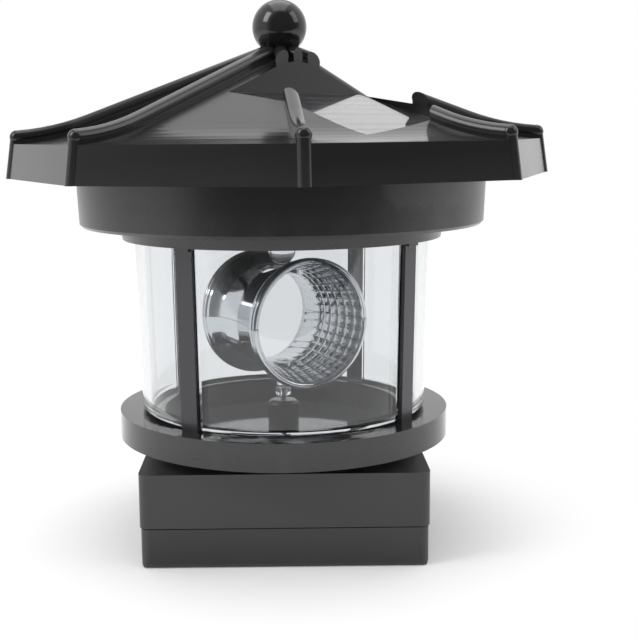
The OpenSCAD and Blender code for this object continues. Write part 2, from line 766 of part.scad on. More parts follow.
// Roof
flare_steps = 7;
function flare_points(drop, inset) = [
    for (i = [0:flare_steps])
    let (d = flare_start + (eave_top_d - inset - flare_start) * i / flare_steps)
    [d, flare_z - drop - sqrt(flare_r * flare_r - (flare_x - d) * (flare_x - d))]
];
module roof_section(drop, inset) {
    side = concat(flare_points(drop, inset), [[eave_low_d - inset, eave_z], [eave_low_d - inset, eave_z - overrun]]);
    n = len(side);
    polygon(concat([[0, peak_z - drop]], side, [for (i = [1:n]) [-side[n - i][0], side[n - i][1]]]));
}
module roof_body(drop, inset) {
    intersection_for (k = [0:3])
        bearing(roof_bearing + face_turn + k * corner_turn) upright(3 * eave_low_r) roof_section(drop, inset);
}
module hip_ribs() {
    for (k = [0:7])
        bearing(roof_bearing + k * corner_turn) {
            translate([0, 0, rib_peak - rib_r / cos(hip_angle)]) rotate([0, right + hip_angle, 0])
                cylinder(r = rib_r, h = (rib_start - rib_r * sin(hip_angle)) / cos(hip_angle));
            translate([rib_turn_x, 0, rib_turn_z]) rotate([right, 0, 0])
                rotate([0, 0, -right - hip_angle]) rotate_extrude(angle = rib_sweep)
                    translate([rib_turn_r + rib_r, 0]) circle(r = rib_r);
            translate([rib_end, 0, rib_end_z - rib_r]) sphere(r = rib_r * joint_share);
            translate([rib_end, 0, rib_end_z - rib_r]) rotate([0, half_turn - corner_lean, 0])
                cylinder(r = rib_r * corner_share, h = rib_end_z - eave_z + overrun);
            upright(rib_web) difference() {
                polygon([
                    [0, rib_peak - rib_r],
                    [rib_start, rib_peak - rib_r - hip_share * rib_start],
                    [rib_end, rib_turn_z - rib_turn_r],
                    [rib_end, fascia_z - roof_t],
                    [0, peak_z - roof_t]
                ]);
                translate([rib_turn_x, rib_turn_z]) circle(r = rib_turn_r + rib_r, $fn = 2 * right);
            }
        }
}
joint_share = 1.02;
corner_share = 0.9;
corner_lean = atan((eave_low_r - eave_top_r) / fascia_h);
function panel_z(a) = panel_top_z - panel_fall_share * (a - pocket_near);
module pocket_prism(grow, drop) {
    bearing(panel_bearing) upright(pocket_w + 2 * grow) polygon([
        [pocket_near - grow, panel_z(pocket_near - grow) - drop],
        [pocket_far + grow, panel_z(pocket_far + grow) - drop],
        [pocket_far + grow, peak_z + ball_r],
        [pocket_near - grow, peak_z + ball_r]
    ]);
}
module roof_shell() {
    core_r = 3;
    core_h = 7;
    color([0.05, 0.05, 0.05]) difference() {
        union() {
            difference() {
                roof_body(0, 0);
                roof_body(roof_t, roof_t);
            }
            intersection() {
                roof_body(seam, seam);
                union() {
                    pocket_prism(wall, panel_drop + pocket_floor_t);
                    translate([0, 0, peak_z - core_h]) cylinder(r = core_r, h = core_h);
                    ring_of(4, roof_bearing + face_turn, roof_screw_r)
                        translate([0, 0, brim_z + brim_t]) cylinder(r = boss_r, h = fascia_h);
                }
            }
            hip_ribs();
        }
        translate([0, 0, eave_z - box_w]) cylinder(r = 2 * box_w, h = box_w);
        pocket_prism(0, panel_drop);
        translate([0, 0, ball_z]) sphere(r = ball_r + seat_gap);
        translate([0, 0, peak_z - core_h + wall]) cylinder(r = spigot_r + seat_gap, h = core_h);
        ring_of(4, roof_bearing + face_turn, roof_screw_r)
            translate([0, 0, brim_z]) cylinder(r = screw_r + screw_gap, h = brim_t + roof_bite + fit_gap);
        on_panel() translate([lead_hole_x, 0, -panel_t - wall - overrun]) cylinder(r = 3 * lead_r + lead_side, h = wall + panel_t);
    }
}
spigot_r = 1.5;
spigot_h = 5;
lead_hole_x = 14;
module finial_ball() {
    color([0.05, 0.05, 0.05]) {
        translate([0, 0, ball_z]) sphere(r = ball_r);
        translate([0, 0, peak_z - spigot_h]) cylinder(r = spigot_r, h = spigot_h);
    }
}

// Solar panel, drawn along its own slope
module on_panel() {
    bearing(panel_bearing) translate([pocket_near, 0, panel_top_z]) rotate([0, panel_tilt, 0]) children();
}
module panel_slab(low, thick) {
    on_panel() translate([panel_gap / cos(panel_tilt), -panel_w / 2, low]) cube([panel_len, panel_w, thick]);
}
module panel_board() {
    color([0.1, 0.12, 0.1]) panel_slab(-panel_t, board_t);
}
module cells(play) {
    margin = 1.5;
    pitch = (panel_len - 2 * margin) / cell_count;
    on_panel() for (i = [0:cell_count - 1])
        translate([panel_gap + margin + i * pitch - play, margin - panel_w / 2 - play, -resin_t])
            cube([pitch - cell_gap + 2 * play, panel_w - 2 * margin + 2 * play, cell_t + play]);
}
module solar_cells() {
    color([0.03, 0.03, 0.08]) cells(0);
}
module panel_resin() {
    color([0.2, 0.2, 0.25, 0.6]) difference() {
        panel_slab(-resin_t, resin_t);
        cells(seam);
    }
}
module panel_leads() {
    color([0.6, 0.1, 0.1]) for (s = [-1, 1]) {
        top = lead_hole_x * cos(panel_tilt) + pocket_near;
        lead([
            at_bearing(panel_bearing, top, s * lead_side, panel_z(top) - panel_drop - 2 * lead_r),
            at_bearing(panel_bearing, top, s * lead_side, head_pcb_z + head_slack),
            at_bearing(panel_bearing, head_lead_at + lead_side, s * lead_side, head_pcb_z + pcb_t + head_slack * half_share),
            at_bearing(panel_bearing, head_lead_at, s * lead_side, head_pcb_z + pcb_t)
        ]);
    }
}
head_slack = 5;
head_lead_at = 6.5;

// Lamp and its board
module led_frame_shape(play) {
    lead_w = 0.5;
    lead_x = 1.27;
    cup_r = 1;
    for (s = [-1, 1])
        translate([s * lead_x, 0, led_low_z + led_r]) translate([0, 0, (head_pcb_z - led_low_z - led_r) / 2])
            cube([lead_w + 2 * play, lead_w + 2 * play, head_pcb_z - led_low_z - led_r + 2 * play], center = true);
    translate([lead_x - cup_r * half_share, 0, led_low_z + led_r - play]) cylinder(r = cup_r + play, h = cup_r + 2 * play);
}
module led_frame() {
    color([0.8, 0.8, 0.82]) led_frame_shape(0);
}
module beacon_led() {
    led_flange_h = 1;
    led_flange_r = 2.9;
    color([0.9, 0.95, 1, 0.5]) difference() {
        union() {
            translate([0, 0, led_low_z + led_r]) sphere(r = led_r);
            translate([0, 0, led_low_z + led_r]) cylinder(r = led_r - seam, h = drum_z - led_low_z - led_r + seam);
            translate([0, 0, drum_z]) cylinder(r = led_flange_r, h = led_flange_h);
        }
        led_frame_shape(seam);
    }
}
module led_board() {
    color([0.1, 0.35, 0.15]) translate([0, 0, head_pcb_z]) difference() {
        cylinder(r = head_pcb_r, h = pcb_t);
        ring_of(2, 0, head_boss_at) translate([0, 0, -overrun]) cylinder(r = screw_r + screw_gap, h = pcb_t + 2 * overrun);
    }
}
driver_w = 5;
driver_d = 4;
driver_h = 1.5;
coil_w = 3.4;
coil_h = 1.9;
small_w = 2;
small_d = 1.2;
small_h = 0.6;
diode_w = 2.9;
diode_d = 1.6;
diode_h = 1.1;
chip_x = 2;
chip_y = 1;
coil_x = 5;
coil_y = 4;
small_x = 6;
small_y = 5;
diode_x = 6.4;
diode_y = 5.4;
head_chip_x = 4.4;
head_diode_y = 1.5;
head_small_y = 2;
head_near_x = 0.6;
head_near_y = 5;
module chip(at, size) {
    translate([at[0], at[1], at[2] + size[2] / 2]) cube(size, center = true);
}
module board_parts_head() {
    color([0.12, 0.12, 0.12]) {
        chip([-head_chip_x, head_diode_y, head_pcb_z + pcb_t], [diode_w, diode_d, diode_h]);
        chip([-head_chip_x, -head_small_y, head_pcb_z + pcb_t], [small_w, small_d, small_h]);
        chip([head_near_x, -head_near_y, head_pcb_z + pcb_t], [small_w, small_d, small_h]);
    }
}

// Power and control in the base
module battery_cell() {
    tip_r = 1.8;
    tip_h = 0.8;
    color([0.2, 0.5, 0.3]) translate([-battery_len / 2, battery_y, battery_z]) rotate([0, right, 0]) {
        cylinder(r = battery_r, h = battery_len - tip_h);
        cylinder(r = tip_r, h = battery_len);
    }
}
module battery_contacts() {
    leaf_w = 6;
    leaf_h = 8;
    leaf_t = 0.35;
    foot = 1.4;
    color([0.8, 0.78, 0.7]) for (s = [-1, 1])
        translate([s * (battery_len / 2 + leaf_t / 2 + seat_gap), battery_y - leaf_w / 2, wall]) {
            translate([-leaf_t / 2, 0, 0]) cube([leaf_t, leaf_w, leaf_h]);
            translate([s > 0 ? -leaf_t / 2 : leaf_t / 2 - foot, 0, 0]) cube([foot, leaf_w, leaf_t]);
        }
}
module control_board() {
    color([0.1, 0.35, 0.15]) translate([ctrl_x, ctrl_y, ctrl_z + pcb_t / 2]) cube([ctrl_w, ctrl_d, pcb_t], center = true);
}
module board_parts_base() {
    top = ctrl_z + pcb_t;
    color([0.12, 0.12, 0.12]) {
        chip([ctrl_x + chip_x, ctrl_y - chip_y, top], [driver_w, driver_d, driver_h]);
        chip([ctrl_x - coil_x, ctrl_y - coil_y, top], [coil_w, coil_w, coil_h]);
        chip([ctrl_x + small_x, ctrl_y + small_y, top], [small_w, small_d, small_h]);
        chip([ctrl_x + chip_x, ctrl_y + small_y, top], [small_w, small_d, small_h]);
        chip([ctrl_x + diode_x, ctrl_y - diode_y, top], [diode_w, diode_d, diode_h]);
    }
}
module switch_body() {
    body_w = 8.6;
    body_d = 3.6;
    body_low = wall + knob_clear;
    color([0.7, 0.7, 0.72]) difference() {
        chip([switch_x, switch_y, body_low], [body_w, body_d, ctrl_z - body_low]);
        chip([switch_x, switch_y, body_low - overrun],
            [knob_x + knob_throw + knob_clear, knob_y + knob_clear, knob_root + fit_gap + overrun]);
    }
}
knob_root = 1.2;
module switch_knob() {
    knob_low = 0.5;
    color([0.9, 0.9, 0.9]) chip([switch_x - knob_throw / 2, switch_y, knob_low],
        [knob_x, knob_y, wall + knob_clear + knob_root - knob_low]);
}
lead_bend = 1.3;
board_margin = 1.5;
module motor_leads() {
    color([0.1, 0.1, 0.1]) for (s = [-1, 1])
        lead([
            [motor_at[0] - motor_r - lead_r, motor_at[1] + s * 2 * lead_side, carrier_z - motor_h * half_share],
            [motor_at[0] - motor_r - lead_bend, motor_at[1] + s * 2 * lead_side, carrier_z - lead_bend],
            [ctrl_x + ctrl_w / 2 - board_margin, motor_at[1] + s * 2 * lead_side, ctrl_z + pcb_t + lead_r]
        ]);
}

// Pieces
base_cover();
base_shell();
cover_screws();
neck_screws();
flange_housing();
floor_plate();
shaft_bush();
output_gear();
second_gear();
first_gear();
motor_pinion();
gear_pins();
gear_plate();
motor_can();
motor_leads();
small_screws();
battery_cell();
battery_contacts();
control_board();
board_parts_base();
switch_body();
switch_knob();
output_shaft();
reflector();
clear_cylinder();
post_front_left();
post_front_right();
post_rear_right();
post_rear_left();
post_leads();
lantern_ring();
beacon_led();
led_frame();
led_board();
board_parts_head();
panel_leads();
collar_drum();
roof_screws();
roof_shell();
finial_ball();
panel_board();
solar_cells();
panel_resin();
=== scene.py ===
"""Looks of a solar beacon head for a garden lighthouse: its finishes, turning mirror and stage."""

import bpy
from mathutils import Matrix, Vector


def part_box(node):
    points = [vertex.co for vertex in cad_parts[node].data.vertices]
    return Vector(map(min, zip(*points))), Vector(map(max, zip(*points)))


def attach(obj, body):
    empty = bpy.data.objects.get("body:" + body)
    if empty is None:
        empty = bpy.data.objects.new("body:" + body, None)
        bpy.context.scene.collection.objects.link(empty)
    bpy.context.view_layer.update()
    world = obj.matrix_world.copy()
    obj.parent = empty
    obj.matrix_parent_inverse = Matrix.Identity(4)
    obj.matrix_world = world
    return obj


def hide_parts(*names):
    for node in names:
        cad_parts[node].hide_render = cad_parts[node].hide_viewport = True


bl_info = {
    "name": "Lighthouse beacon head",
    "version": (1, 0, 0),
    "blender": (4, 5, 0),
    "location": "View3D > Sidebar > Beacon",
    "description": "Dresses the beacon head in its moulded, mirrored and clear plastics",
    "category": "Object",
}

import math

import bmesh
import bpy
from mathutils import Matrix, Vector

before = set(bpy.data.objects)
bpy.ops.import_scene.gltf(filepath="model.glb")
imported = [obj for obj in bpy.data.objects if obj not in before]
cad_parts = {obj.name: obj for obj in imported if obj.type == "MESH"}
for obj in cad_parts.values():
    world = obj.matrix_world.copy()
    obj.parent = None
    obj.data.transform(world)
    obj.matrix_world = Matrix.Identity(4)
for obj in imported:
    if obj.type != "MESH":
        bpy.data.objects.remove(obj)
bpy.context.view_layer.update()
BARREL_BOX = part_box("reflector")

# Finishes
BLACK_IOR = 1.52
ACRYLIC_IOR = 1.49
RESIN_IOR = 1.5
DUSTY_ROUGHNESS = 0.7
MOULD_DEPTH = 0.00002
PEEL_SHARE = 0.3
SEAM_INNER = 0.00004
SEAM_OUTER = 0.00016
BOARD_GREEN = (0.02, 0.13, 0.05)
CHIP_BLACK = (0.02, 0.02, 0.022)
LEAD_RED = (0.4, 0.02, 0.02)
LEAD_BLACK = (0.02, 0.02, 0.02)
COLLECTOR_LINES = 34.0
COLLECTOR_TINT = (0.06, 0.06, 0.065)
PANEL_ACROSS = (0.754, -0.657, 0.0)

# The mirror barrel. The cuts are where a facet's rows and columns stand in it, as shares, its groove first.
FACET_CUTS = (0.0, 0.07, 0.36, 0.64, 0.93)
REAR_RINGS = 4
FLARE_POWER = 1.45
LIP = 0.00042
LIP_STEPS = 4
LIP_PITCH = 2.1
LIP_VALLEY = 2.02
MOUTH_EDGE = 0.0002
MOUTH_STEP = 0.00012
WALL_END = 0.0021
FRONT_WALL_STEPS = 12
REAR_WALL_STEPS = 8
# Painted shade: the faceted inside of the cups is a darker copy of the barrel's mirror, at 0.86 of its tint.
FACET_PAINTED_SHADE = 0.86
HOLE_SIDES = 48

# The clear hub below the barrel
HUB_SIDES = 40
HUB_STEPS = 8
HUB_POWER = 1.7
HUB_BORE = 0.00055
HUB_WAIST = 0.0004
HUB_BITE = 0.0004
HUB_TIP = 0.0001
KNOB_HEIGHT = 0.0013
KNOB_EDGE = 0.0002

# The stage: the way to the room's dark side, and how far round towards it the dark starts and is full
DARK_WAY = (0.34, -0.94, 0.0)
DARK_START = 0.1
DARK_FULL = 0.6
PAPER_TONE = 0.95
LAMP_SHAPE = 0.6
SENSOR_WIDTH = 36.0


# Property groups: what a user would change


def length(name, description, default):
    return bpy.props.FloatProperty(
        name=name, description=description, default=default, unit="LENGTH", precision=5
    )


def colour(name, description, default):
    return bpy.props.FloatVectorProperty(
        name=name, description=description, default=default, size=3, min=0.0, max=1.0, subtype="COLOR"
    )


def share(name, description, default, top=1.0):
    return bpy.props.FloatProperty(name=name, description=description, default=default, min=0.0, max=top)


def turn(name, description, default):
    return bpy.props.FloatProperty(
        name=name, description=description, default=math.radians(default), subtype="ANGLE"
    )


class BeaconMirror(bpy.types.PropertyGroup):
    rim: length("Rim radius", "Outer radius of the barrel's two rims", 0.0114)
    half: length("Half length", "Half the length of the barrel", 0.0102)
    throat: length("Throat radius", "Inner radius of the throat", 0.0083)
    shell: length("Shell", "Thickness of the barrel's shell", 0.0007)
    flare: length("Flare", "How much wider each mouth is than the throat", 0.00205)
    throat_front: length("Throat's front", "Where the front cup ends, along the barrel", -0.0012)
    throat_rear: length("Throat's rear", "Where the rear cup ends, along the barrel", -0.0058)
    groove: length("Groove", "How deep the grooves between facets are", 0.00007)
    pillow: length("Pillow", "How far a facet swells", 0.00006)
    lamp_hole: length("Lamp hole", "Radius of the hole under the lamp", 0.0038)
    hub_top: length("Hub top", "Radius of the clear hub where it meets the barrel", 0.003)
    knob: length("Knob", "Radius of the knob at the hub's foot", 0.0014)
    bearing: turn("Bearing", "Where the front mouth points, from the front toward the right", 30.0)
    columns: bpy.props.IntProperty(
        name="Facet columns", description="Mirror facets round a cup", default=36, min=8
    )
    rings: bpy.props.IntProperty(name="Facet rings", description="Rings of facets in a cup", default=6, min=2)


class BeaconFinish(bpy.types.PropertyGroup):
    black: colour("Black plastic", "Colour of the moulded black plastic", (0.0085, 0.0085, 0.009))
    mirror: colour("Mirror", "Tint of the metallised barrel", (0.72, 0.74, 0.77))
    clear: colour("Clear plastic", "Tint of the lantern cylinder", (0.87, 0.885, 0.895))
    cell: colour("Solar cell", "Colour of the solar cells", (0.006, 0.007, 0.014))
    steel: colour("Steel", "Colour of screws, pins and shaft", (0.62, 0.62, 0.63))
    dust: share("Dust", "How much fine dust the black plastic shows", 0.35)


class BeaconStage(bpy.types.PropertyGroup):
    paper: colour("Paper", "Colour of the floor and the surroundings", (1.0, 1.0, 1.0))
    floor: length("Floor", "Width of the floor", 6.0)
    world: share("Surroundings", "Strength of the light from all round", 0.9, 2.0)
    hood: share("Dark side", "What is left of the surroundings' gloss on the camera's side of the room", 0.16)
    clear_near: length("Shadow floor", "How far round the object the floor shows its shadow", 0.03)
    clear_far: length("White floor", "Where the floor has run out into plain white", 0.07)
    front_edge: length("Front edge", "How far in front of the object the floor begins", 0.2)
    distance: length("Camera distance", "How far the camera stands in front of the middle", 0.20895)
    height: length("Camera height", "Height of the camera above the floor", 0.07084)
    pitch: turn("Camera pitch", "How far the camera looks down", 9.05)
    roll: turn("Camera roll", "Turn of the camera about its line of sight", -0.63)
    lens: bpy.props.FloatProperty(
        name="Lens", description="Focal length on a 36 mm wide sensor", default=66.46
    )
    shift: bpy.props.FloatProperty(name="Shift", description="Sideways shift of the frame", default=0.0571)


# Shader groups


def new_group(name, inputs, outputs):
    """An empty shader group with named sockets, and its input and output nodes."""
    tree = bpy.data.node_groups.new(name, "ShaderNodeTree")
    for label, kind, value in inputs:
        tree.interface.new_socket(label, in_out="INPUT", socket_type=kind).default_value = value
    for label, kind in outputs:
        tree.interface.new_socket(label, in_out="OUTPUT", socket_type=kind)
    return tree, tree.nodes.new("NodeGroupInput"), tree.nodes.new("NodeGroupOutput")


def feed(tree, socket, value):
    """Links a socket to the one given, or sets it to a plain value."""
    if isinstance(value, bpy.types.NodeSocket):
        tree.links.new(value, socket)
    else:
        socket.default_value = value


def fill(tree, node, **values):
    """Feeds the node's inputs by name, with _ for each space."""
    for key, value in values.items():
        feed(tree, node.inputs[key.replace("_", " ")], value)
    return node


def put(tree, kind, **values):
    """Adds a node. A value named in_N goes to its socket N, the others to its properties."""
    node = tree.nodes.new(kind)
    for key, value in values.items():
        if key.startswith("in_"):
            where = key[3:]
            feed(tree, node.inputs[int(where) if where.isdigit() else where.replace("_", " ")], value)
        else:
            setattr(node, key, value)
    return node


def object_place(tree):
    return put(tree, "ShaderNodeTexCoord").outputs["Object"]


def noise(tree, place, scale, detail, distortion=0.0):
    made = put(tree, "ShaderNodeTexNoise", in_Vector=place, in_Scale=scale)
    return fill(tree, made, Detail=detail, Distortion=distortion).outputs[0]


def remap(tree, value, given, wanted, **options):
    """Takes a value from the range given to the range wanted, and stops at its ends."""
    return put(
        tree,
        "ShaderNodeMapRange",
        in_0=value,
        in_1=given[0],
        in_2=given[1],
        in_3=wanted[0],
        in_4=wanted[1],
        **options,
    ).outputs[0]


def mix_values(tree, part, first, second):
    return put(tree, "ShaderNodeMix", data_type="FLOAT", in_0=part, in_2=first, in_3=second).outputs[0]


def mix_colours(tree, part, first, second):
    return put(tree, "ShaderNodeMix", data_type="RGBA", in_0=part, in_6=first, in_7=second).outputs[2]


def math_node(tree, operation, a, b=0.0, clamp=False):
    return put(tree, "ShaderNodeMath", operation=operation, use_clamp=clamp, in_0=a, in_1=b).outputs[0]


def times(tree, a, b):
    return math_node(tree, "MULTIPLY", a, b)


def dot(tree, a, b):
    return put(tree, "ShaderNodeVectorMath", operation="DOT_PRODUCT", in_0=a, in_1=b).outputs["Value"]


def moulded_skin():
    """Fine mould grain, slow ripple and soft handling marks of injection-moulded plastic."""
    if "Moulded skin" in bpy.data.node_groups:
        return bpy.data.node_groups["Moulded skin"]
    tree, given, made = new_group(
        "Moulded skin",
        [
            ("Roughness", "NodeSocketFloat", 0.25),
            ("Variation", "NodeSocketFloat", 0.08),
            ("Grain per metre", "NodeSocketFloat", 2600.0),
            ("Ripple", "NodeSocketFloat", 0.35),
        ],
        [("Roughness", "NodeSocketFloat"), ("Height", "NodeSocketFloat")],
    )
    grain_height = 0.12
    place = object_place(tree)
    grain = noise(tree, place, scale=given.outputs["Grain per metre"], detail=3.0)
    smear = noise(tree, place, scale=95.0, detail=4.0, distortion=0.7)
    ripple = noise(tree, place, scale=60.0, detail=1.0)
    marks = times(tree, math_node(tree, "SUBTRACT", smear, 0.5), given.outputs["Variation"])
    rough = math_node(tree, "ADD", given.outputs["Roughness"], marks, clamp=True)
    height = math_node(
        tree, "ADD", times(tree, grain, grain_height), times(tree, ripple, given.outputs["Ripple"])
    )
    tree.links.new(rough, made.inputs["Roughness"])
    tree.links.new(height, made.inputs["Height"])
    return tree


def settled_dust():
    """A thin scatter of dust specks, heavier on what faces up, with rubbed edges."""
    if "Settled dust" in bpy.data.node_groups:
        return bpy.data.node_groups["Settled dust"]
    tree, given, made = new_group(
        "Settled dust",
        [
            ("Colour", "NodeSocketColor", (0.01, 0.01, 0.01, 1.0)),
            ("Dust colour", "NodeSocketColor", (0.32, 0.31, 0.3, 1.0)),
            ("Amount", "NodeSocketFloat", 0.3),
        ],
        [("Colour", "NodeSocketColor"), ("Mask", "NodeSocketFloat")],
    )
    shape = put(tree, "ShaderNodeNewGeometry")
    place = object_place(tree)
    specks = put(tree, "ShaderNodeTexVoronoi", feature="F1", in_Vector=place, in_Scale=520.0)
    cloud = noise(tree, place, scale=70.0, detail=5.0)
    dots = remap(tree, specks.outputs["Distance"], (0.02, 0.1), (1.0, 0.0))
    patches = remap(tree, cloud, (0.5, 0.75), (0.0, 0.6))
    up = put(tree, "ShaderNodeSeparateXYZ", in_0=shape.outputs["Normal"]).outputs["Z"]
    facing = remap(tree, up, (0.0, 1.0), (0.25, 1.0))
    worn = remap(tree, shape.outputs["Pointiness"], (0.52, 0.62), (0.0, 0.25))
    specked = times(tree, times(tree, dots, patches), facing)
    mask = math_node(
        tree, "MULTIPLY", math_node(tree, "ADD", specked, worn), given.outputs["Amount"], clamp=True
    )
    mixed = mix_colours(tree, mask, given.outputs["Colour"], given.outputs["Dust colour"])
    tree.links.new(mixed, made.inputs["Colour"])
    tree.links.new(mask, made.inputs["Mask"])
    return tree


def fine_scratches():
    """Hair scratches of handled clear and plated surfaces, as a height and a mask."""
    if "Fine scratches" in bpy.data.node_groups:
        return bpy.data.node_groups["Fine scratches"]
    tree, given, made = new_group(
        "Fine scratches",
        [("Per metre", "NodeSocketFloat", 300.0), ("Stretch", "NodeSocketFloat", 14.0)],
        [("Mask", "NodeSocketFloat"), ("Height", "NodeSocketFloat")],
    )
    stretch = given.outputs["Stretch"]
    pull = put(tree, "ShaderNodeCombineXYZ", in_0=stretch, in_1=stretch, in_2=1.0).outputs[0]
    pulled = put(
        tree, "ShaderNodeVectorMath", operation="MULTIPLY", in_0=object_place(tree), in_1=pull
    ).outputs[0]
    lines = noise(tree, pulled, scale=given.outputs["Per metre"], detail=2.0)
    mask = remap(tree, lines, (0.62, 0.7), (0.0, 1.0))
    tree.links.new(mask, made.inputs["Mask"])
    tree.links.new(times(tree, mask, -1.0), made.inputs["Height"])
    return tree


def use(tree, group, **values):
    return fill(tree, put(tree, "ShaderNodeGroup", node_tree=group), **values)


def blank(name):
    """A new node material with its Principled shader, or the one that stands already."""
    old = bpy.data.materials.get(name)
    if old:
        return old, None, None
    made = bpy.data.materials.new(name)
    made.use_nodes = True
    tree = made.node_tree
    return made, tree, tree.nodes["Principled BSDF"]


def bump(tree, shader, height, depth, strength=1.0):
    node = put(tree, "ShaderNodeBump", in_Height=height, in_Distance=depth, in_Strength=strength)
    tree.links.new(node.outputs[0], shader.inputs["Normal"])


def rgba(value):
    return (value[0], value[1], value[2], 1.0)


def shade_of(value, tone):
    return rgba([tone * c for c in value])


# Finishes


def black_plastic(name, finish, roughness, ripple, dust, gloss=0.5, tone=1.0):
    made, tree, shader = blank(name)
    if tree is None:
        return made
    skin = use(tree, moulded_skin(), Roughness=roughness, Variation=0.1, Ripple=ripple)
    # A tone other than 1 paints light into the black: darker is painted shade, paler is painted reflection.
    film = use(tree, settled_dust(), Colour=shade_of(finish.black, tone), Amount=finish.dust * dust)
    rough = mix_values(tree, film.outputs["Mask"], skin.outputs["Roughness"], DUSTY_ROUGHNESS)
    tint = film.outputs["Colour"]
    fill(tree, shader, Base_Color=tint, Roughness=rough, IOR=BLACK_IOR, Specular_IOR_Level=gloss)
    bump(tree, shader, skin.outputs["Height"], MOULD_DEPTH)
    return made


def clear_plastic(name, tint, roughness=0.0, ior=ACRYLIC_IOR, scratch=0.04, ripple_depth=0.00004):
    made, tree, shader = blank(name)
    if tree is None:
        return made
    lines = use(tree, fine_scratches(), Per_metre=260.0)
    rough = math_node(tree, "ADD", times(tree, lines.outputs["Mask"], scratch), roughness)
    fill(tree, shader, Base_Color=rgba(tint), Transmission_Weight=1.0, IOR=ior, Roughness=rough)
    if ripple_depth:
        ripple = noise(tree, object_place(tree), scale=45.0, detail=0.0)
        bump(tree, shader, ripple, ripple_depth, strength=0.4)
    return made


def plated_metal(name, tint, roughness):
    made, tree, shader = blank(name)
    if tree is None:
        return made
    scratch_depth = 0.000004
    lines = use(tree, fine_scratches(), Per_metre=900.0, Stretch=5.0)
    skin = use(tree, moulded_skin(), Roughness=roughness, Variation=0.16, Ripple=0.1)
    fill(tree, shader, Base_Color=rgba(tint), Metallic=1.0, Roughness=skin.outputs["Roughness"])
    bump(tree, shader, lines.outputs["Height"], scratch_depth, strength=0.6)
    return made


def mirror_finish(name, tint, roughness, seam_height):
    """Vacuum metallised plastic: faint orange peel, and the mould's seam line at one height."""
    made, tree, shader = blank(name)
    if tree is None:
        return made
    peel_depth, cloud_share = 0.00005, 0.08
    place = object_place(tree)
    peel = noise(tree, place, scale=420.0, detail=2.0)
    high = put(tree, "ShaderNodeSeparateXYZ", in_0=place).outputs["Z"]
    off = math_node(tree, "ABSOLUTE", math_node(tree, "SUBTRACT", high, seam_height))
    seam = remap(tree, off, (SEAM_INNER, SEAM_OUTER), (1.0, 0.0))
    height = math_node(tree, "ADD", times(tree, peel, PEEL_SHARE), seam)
    tinted = mix_colours(tree, times(tree, seam, 0.5), rgba(tint), shade_of(tint, 0.5))
    cloud = noise(tree, place, scale=150.0, detail=3.0)
    cloudy = times(tree, math_node(tree, "SUBTRACT", cloud, 0.5), cloud_share)
    rough = math_node(tree, "ADD", cloudy, roughness)
    fill(tree, shader, Base_Color=tinted, Metallic=1.0, Roughness=rough)
    bump(tree, shader, height, peel_depth, strength=0.5)
    return made


def cell_finish(name, tint, across, pitch):
    """Dark silicon with thin collector lines, one pitch apart along the direction across."""
    made, tree, shader = blank(name)
    if tree is None:
        return made
    line_share, line_depth = 0.04, 0.000005
    place = object_place(tree)
    step = math_node(tree, "FRACT", times(tree, dot(tree, place, across), 1.0 / pitch))
    off = math_node(tree, "ABSOLUTE", math_node(tree, "SUBTRACT", step, 0.5))
    line = math_node(tree, "LESS_THAN", off, line_share)
    grain = put(tree, "ShaderNodeTexVoronoi", in_Vector=place, in_Scale=380.0).outputs["Color"]
    silicon = mix_colours(tree, grain, rgba(tint), shade_of(tint, 1.8))
    lined = mix_colours(tree, line, silicon, rgba(COLLECTOR_TINT))
    rough = math_node(tree, "ADD", times(tree, line, 0.15), 0.5)
    fill(tree, shader, Base_Color=lined, Roughness=rough, Specular_IOR_Level=0.2)
    bump(tree, shader, line, line_depth, strength=0.3)
    return made


def plain_moulding(name, tint, roughness):
    """A coloured part that is not one of the black mouldings, with a paler dust of its own colour."""
    made, tree, shader = blank(name)
    if tree is None:
        return made
    grain_depth = 0.00003
    paler = rgba([0.7 * c + 0.05 for c in tint])
    skin = use(tree, moulded_skin(), Roughness=roughness, Variation=0.15, Grain_per_metre=1800.0)
    film = use(tree, settled_dust(), Colour=rgba(tint), Dust_colour=paler, Amount=0.6)
    fill(tree, shader, Base_Color=film.outputs["Colour"], Roughness=skin.outputs["Roughness"])
    bump(tree, shader, skin.outputs["Height"], grain_depth, strength=0.7)
    return made


def dress(node, material):
    """Gives every material slot of a CAD node one finish."""
    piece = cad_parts[node]
    if not piece.material_slots:
        piece.data.materials.append(material)
    for held in piece.material_slots:
        held.material = material


# Mesh help


def piece_from(name, verts, faces, smooth, material):
    mesh = bpy.data.meshes.new(name)
    mesh.from_pydata([tuple(v) for v in verts], [], faces)
    mesh.polygons.foreach_set("use_smooth", [smooth] * len(faces))
    mesh.materials.append(material)
    mesh.validate()
    made = bpy.data.objects.new(name, mesh)
    bpy.context.scene.collection.objects.link(made)
    return made


def lathe(outline, count, place, angle=None, change=None):
    """Turns a closed outline of (radius, height) about Z.

    angle(column) places the columns, which are evenly spread without it.
    change(row, column) is added to a point's radius.
    """
    verts, faces = [], []
    rows = len(outline)
    for i, (radius, height) in enumerate(outline):
        for j in range(count):
            a = angle(j) if angle else 2.0 * math.pi * j / count
            r = radius + (change(i, j) if change else 0.0)
            verts.append(place @ Vector((r * math.cos(a), r * math.sin(a), height)))
    for i in range(rows):
        k = (i + 1) % rows
        for j in range(count):
            n = (j + 1) % count
            faces.append((i * count + j, i * count + n, k * count + n, k * count + j))
    return verts, faces


# Operators


class BEACON_OT_roof(bpy.types.Operator):
    """Dress the eight-sided roof and the ball on its point"""

    bl_idname = "beacon.roof"
    bl_label = "Roof"

    def execute(self, context):
        finish = context.scene.beacon_finish
        glossy = black_plastic("roof_black", finish, roughness=0.17, ripple=0.25, dust=0.5, gloss=0.42)
        dress("roof_shell", glossy)
        dress("finial_ball", black_plastic("ball_black", finish, roughness=0.12, ripple=0.15, dust=0.4))
        return {"FINISHED"}


